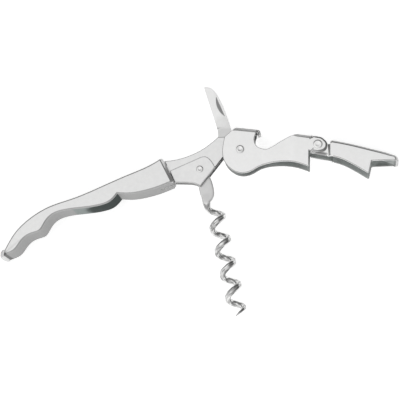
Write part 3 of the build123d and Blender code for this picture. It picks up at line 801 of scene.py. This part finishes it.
# ------------------------------------------------------------------ knife
spine = spline([(-3.90, 9.20), (-5.15, 13.40), (-6.90, 18.60), (-9.30, 23.80), (-11.20, 26.60),
                (-12.95, 27.92), (-15.55, 28.24)], 0.5)
knife_outline = chain([(-3.30, 7.40)], spine, line((-15.55, 28.24), (-9.60, 9.20), 0.8),
                      [(-9.60, 9.20), (-9.40, 5.60), (-4.20, -1.60)],
                      arc((-4.20, -1.60), (3.10, -3.25), (2.40, 3.80)), [(2.40, 3.80), (-3.30, 7.40)])
edge_a, edge_b = Vector((-9.60, 9.20)), Vector((-15.55, 28.24))
cut_dir = (edge_b - edge_a).normalized()
inward = Vector((cut_dir.y, -cut_dir.x))


def edge_place(v):
    """(distance along the cutting edge, distance beside it) of a vertex, in mm."""
    x, y, z = local(v.co)
    p = Vector((x, y)) - edge_a
    return p.dot(cut_dir), p.dot(inward)


bm = bmesh.new()
prism(bm, knife_outline, MZ - 0.7, MZ + 0.7)
for co, no in ((edge_a + inward * 3.0, inward), (edge_a + cut_dir * 0.5, cut_dir), (edge_a + cut_dir * 1.6, cut_dir)):
    bmesh.ops.bisect_plane(bm, geom=list(bm.verts) + list(bm.edges) + list(bm.faces), dist=1e-6,
                           plane_co=V(co.x, co.y, 0), plane_no=(no.x, no.y, 0))
bm.normal_update()
rest = []
for e in bm.edges:
    if len(e.link_faces) == 2 and e.calc_face_angle(0) > math.radians(60):
        level = abs(e.verts[0].co.z - e.verts[1].co.z) < 1e-7
        on = all(abs(edge_place(v)[1]) < 0.05 and edge_place(v)[0] > -0.05 for v in e.verts)
        if level and not on:
            rest.append(e)
bevel(bm, rest, 0.10, 2)
for v in bm.verts:
    t, beside = edge_place(v)
    if abs(beside) < 0.05 and t > 0.55:
        z = v.co.z / MM - MZ
        v.co.z = (MZ + z * (0.14 if t > 1.55 else 1 - 0.86 * (t - 0.5) / 1.1)) * MM
# the nick's cut faces take the painted-shade colour
knife_mats = [blade, nick_painted_shade]
na, nb = Vector((-6.55, 15.15)), Vector((-10.20, 23.80))
nd = (nb - na).normalized()
nick_outline = chain([(na.x, na.y)], arc((-6.55, 15.15), (-9.62, 18.75), (-10.20, 23.80), 0.5))
tools = [(rod((0, 0), 1.35, -2, 15), 0)]
for sign in (1, -1):
    cb = bmesh.new()

    def nick_floor(x, y, sign=sign):
        off = abs((Vector((x, y)) - na).cross(nd))
        return MZ + sign * (0.7 - 0.42 * max(0.0, 1 - off / 1.75))

    prism(cb, nick_outline, 0, MZ + sign * 1.1, nick_floor)
    tools.append((cb, 1))
bm = cut(bm, knife_mats, *tools)
finish_piece(bm, "knife_blade_ground", "knife", ["knife_blade"], knife_mats, 30)


# ------------------------------------------------------------------ rivets
def lathe(bm, at, profile, z_mid, sides=48):
    """profile is (radius, height above the mid plane) from the shaft to the crown, mirrored below."""
    for sign in (1, -1):
        rings = []
        for r, h in profile:
            if r < 1e-6:
                rings.append([bm.verts.new(V(at[0], at[1], z_mid + sign * h))])
            else:
                rings.append([bm.verts.new(V(at[0] + r * math.cos(2 * math.pi * i / sides),
                                             at[1] + r * math.sin(2 * math.pi * i / sides),
                                             z_mid + sign * h)) for i in range(sides)])
        for a, c in zip(rings, rings[1:]):
            for i in range(sides):
                j = (i + 1) % sides
                if len(c) == 1:
                    bm.faces.new((a[i], a[j], c[0]))
                else:
                    bm.faces.new((a[i], a[j], c[j], c[i]))


def head(shaft, radius, base, height, dish, flat):
    """Half profile of a rivet: shaft, low peened head with domed shoulder and dished crown."""
    out = [(shaft, 0.0), (shaft, base)]
    for k in range(0, 11):
        a = math.pi / 2 * k / 10
        out.append((radius * (flat + (1 - flat) * math.cos(a)), base + height * math.sin(a) ** 0.9))
    for k in range(1, 5):
        u = k / 5
        out.append((radius * flat * (1 - u), base + height - dish * (1 - (1 - u) ** 2)))
    out.append((0.0, base + height - dish))
    return out


for name, at, shaft, radius, base, height, body, dish, flat in (
        ("hub_rivet", (0, 0), 1.30, 1.75, 4.03, 0.61, "handle", 0.16, 0.62),
        ("worm_rivet", WORM_PIVOT, 1.20, 1.50, 2.64, 0.51, "handle", 0.14, 0.60),
        ("knuckle_rivet", KNUCKLE, 1.50, 1.95, 6.09, 0.41, "inner_arm", 0.10, 0.60)):
    bm = bmesh.new()
    lathe(bm, at, head(shaft, radius, base, height, dish, flat), MZ)
    finish_piece(bm, name + "_head", body, [name], [rivet_face], 70, weighted=False)

# ------------------------------------------------------------------ worm
ANGLE, SHIFT = math.radians(-77.6), 2.22
START, PITCH, COIL_R, WIRE_R = 16.05, 9.82, 2.88, 1.30
TURNS, POINT = 4.36, 0.45
wx = Vector((math.cos(ANGLE), math.sin(ANGLE), 0))
wy = Vector((-math.sin(ANGLE), math.cos(ANGLE), 0))
wz = Vector((0, 0, 1))
pin = Vector((WORM_PIVOT[0], WORM_PIVOT[1], MZ))


def worm_at(along, beside, up):
    p = pin + wx * along + wy * beside + wz * up
    return V(p.x, p.y, p.z)


def helix(t):
    a = 2 * math.pi * t
    return Vector((START + PITCH * t, SHIFT - COIL_R * math.cos(a), -COIL_R * math.sin(a)))


def helix_out(t):
    a = 2 * math.pi * t
    return Vector((0, -math.cos(a), -math.sin(a)))


low_side = spline([(-2.1, -0.9), (-1.4, -1.75), (0, -2.20), (4.5, -2.26), (8.9, -2.30), (12.2, -2.28),
                   (14.4, -2.06), (16.05, -1.87)], 0.5)
high_side = spline([(-2.1, 0.3), (-1.2, 1.3), (0, 1.75), (1.2, 2.1), (4.2, 3.30), (6.4, 3.70), (9.6, 3.70),
                    (11.4, 3.20), (13.0, 1.80), (14.5, 0.85), (16.05, 0.60)], 0.5)


def at_x(run, x):
    for a, c in zip(run, run[1:]):
        if a[0] <= x <= c[0]:
            return a[1] + (c[1] - a[1]) * (x - a[0]) / max(1e-9, c[0] - a[0])
    return run[0][1] if x < run[0][0] else run[-1][1]


# (centre, outward direction, half width, half thickness, squareness, groove)
stations = []
reach = -2.1
while reach < 14.01:
    lo_y, hi_y = at_x(low_side, reach), at_x(high_side, reach)
    u = ease((reach - 10.0) / 5.0)
    stations.append((Vector((reach, (lo_y + hi_y) / 2, 0)), Vector((0, -1, 0)), (hi_y - lo_y) / 2,
                     1.0 + 0.22 * u, 7.0 - 4.6 * u, 0.0))
    reach += 0.45 if reach < 9 else 0.35
n_shank = len(stations) + 1
T0 = 0.085
last = stations[-1]
tan1 = (helix(T0 + 0.01) - helix(T0 - 0.01)).normalized()
p0, p1 = last[0], helix(T0)
m0, m1 = Vector((1, 0, 0)) * 3.0, tan1 * 3.4
for k in range(1, 10):
    u = k / 10
    c = (p0 * (2 * u ** 3 - 3 * u ** 2 + 1) + m0 * (u ** 3 - 2 * u ** 2 + u)
         + p1 * (-2 * u ** 3 + 3 * u ** 2) + m1 * (u ** 3 - u ** 2))
    out = (Vector((0, -1, 0)) * (1 - u) + helix_out(T0) * u).normalized()
    e = ease(u)
    stations.append((c, out, last[2] + (WIRE_R - last[2]) * e, last[3] + (WIRE_R - last[3]) * e,
                     last[4] + (2.0 - last[4]) * e, 0.0))
total = int((TURNS + POINT - T0) * 64)
for k in range(total + 1):
    t = T0 + (TURNS + POINT - T0) * k / total
    if t < TURNS:
        r = WIRE_R
        groove = 0.20 * ease((t - 0.25) / 0.35)
    else:
        v = min(1.0, (t - TURNS) / POINT)
        r = WIRE_R * (1 - v) ** 0.75 * (1 - 0.10 * v) + 0.10 * v
        groove = 0.20 * max(0.0, 1 - v * 1.6)
    stations.append((helix(t), helix_out(t), r, r, 2.0, groove))

bm = bmesh.new()
ring_n = 32
rings = []
for i, (c, out, w, th, sq, groove) in enumerate(stations):
    a = stations[max(0, i - 1)][0]
    d = stations[min(len(stations) - 1, i + 1)][0]
    tan = (d - a).normalized()
    o = (out - tan * out.dot(tan)).normalized()
    side = tan.cross(o)
    ring = []
    for k in range(ring_n):
        ang = 2 * math.pi * k / ring_n
        ca, sa = math.cos(ang), math.sin(ang)
        x = math.copysign(abs(ca) ** (2.0 / sq), ca) * w
        y = math.copysign(abs(sa) ** (2.0 / sq), sa) * th
        if groove:
            x -= groove * math.exp(-(math.atan2(sa, ca) / 0.42) ** 2) * w
        p = c + o * x + side * y
        ring.append(bm.verts.new(worm_at(p.x, p.y, p.z)))
    rings.append(ring)
unrolled = bm.loops.layers.uv.new("wire")
run = 0.0
for i, (a, c) in enumerate(zip(rings, rings[1:])):
    step = (stations[i + 1][0] - stations[i][0]).length
    for k in range(ring_n):
        f = bm.faces.new((a[k], a[(k + 1) % ring_n], c[(k + 1) % ring_n], c[k]))
        f.material_index = 1 if i < n_shank else 0
        for loop, u, v in zip(f.loops, (k, k + 1, k + 1, k), (run, run, run + step, run + step)):
            loop[unrolled].uv = (u / ring_n, v)
    run += step
f = bm.faces.new(rings[0][::-1])
f.material_index = 1
bm.faces.new(rings[-1])
bmesh.ops.recalc_face_normals(bm, faces=bm.faces)
worm_mats = [wire, shank_face]
bm = cut(bm, worm_mats, (rod(WORM_PIVOT, 1.25, -2, 15), 1))
finish_piece(bm, "worm_wire", "worm_arm", ["worm"], worm_mats, 60, weighted=False)

# ------------------------------------------------------------------ carried-over pieces
for n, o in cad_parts.items():
    if not o.hide_render:
        o.data.materials.clear()
        o.data.materials.append(hidden)
